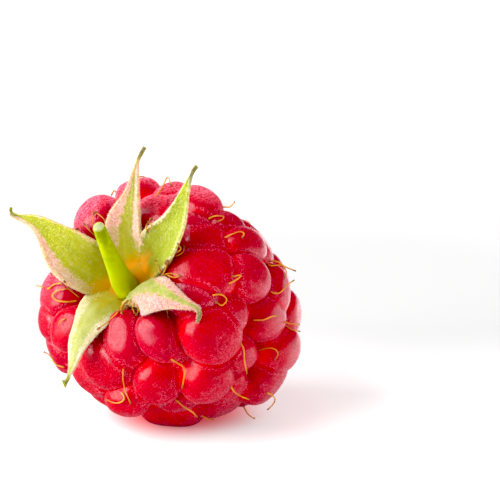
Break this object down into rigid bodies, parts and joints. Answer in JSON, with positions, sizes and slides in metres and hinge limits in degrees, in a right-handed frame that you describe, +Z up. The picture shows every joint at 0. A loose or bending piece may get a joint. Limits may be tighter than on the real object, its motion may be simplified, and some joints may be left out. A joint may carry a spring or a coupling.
{
  "type": "raspberry",
  "caption": "Ripe raspberry lying on its side, of swollen drupelets round a solid middle, with a leafy calyx, a short stalk and dried stamens at one end.",
  "frame": {"origin": "centre of the foot of the bounding box, on the surface that the fruit lies on", "axes": "+Z up; the fruit's axis climbs 30.4 degrees from its tip to its calyx, and the calyx faces -X and -Y, 55.7 degrees from -X towards -Y; Y is the shortest side of the box"},
  "size_m": [0.0262, 0.0238, 0.0268],
  "materials": {
    "drupelet_skin": null,
    "sepal_green": "matt felted leaf, yellow-green with pale pinkish margins",
    "stalk_green": "smooth waxy green stem",
    "dried_stamen": "dry matt brown filaments"
  },
  "bodies": {
    "root": {"drupelets": "drupelet_skin", "calyx": "sepal_green", "stalk": "stalk_green", "stamens": "dried_stamen"}
  },
  "joints": []
}
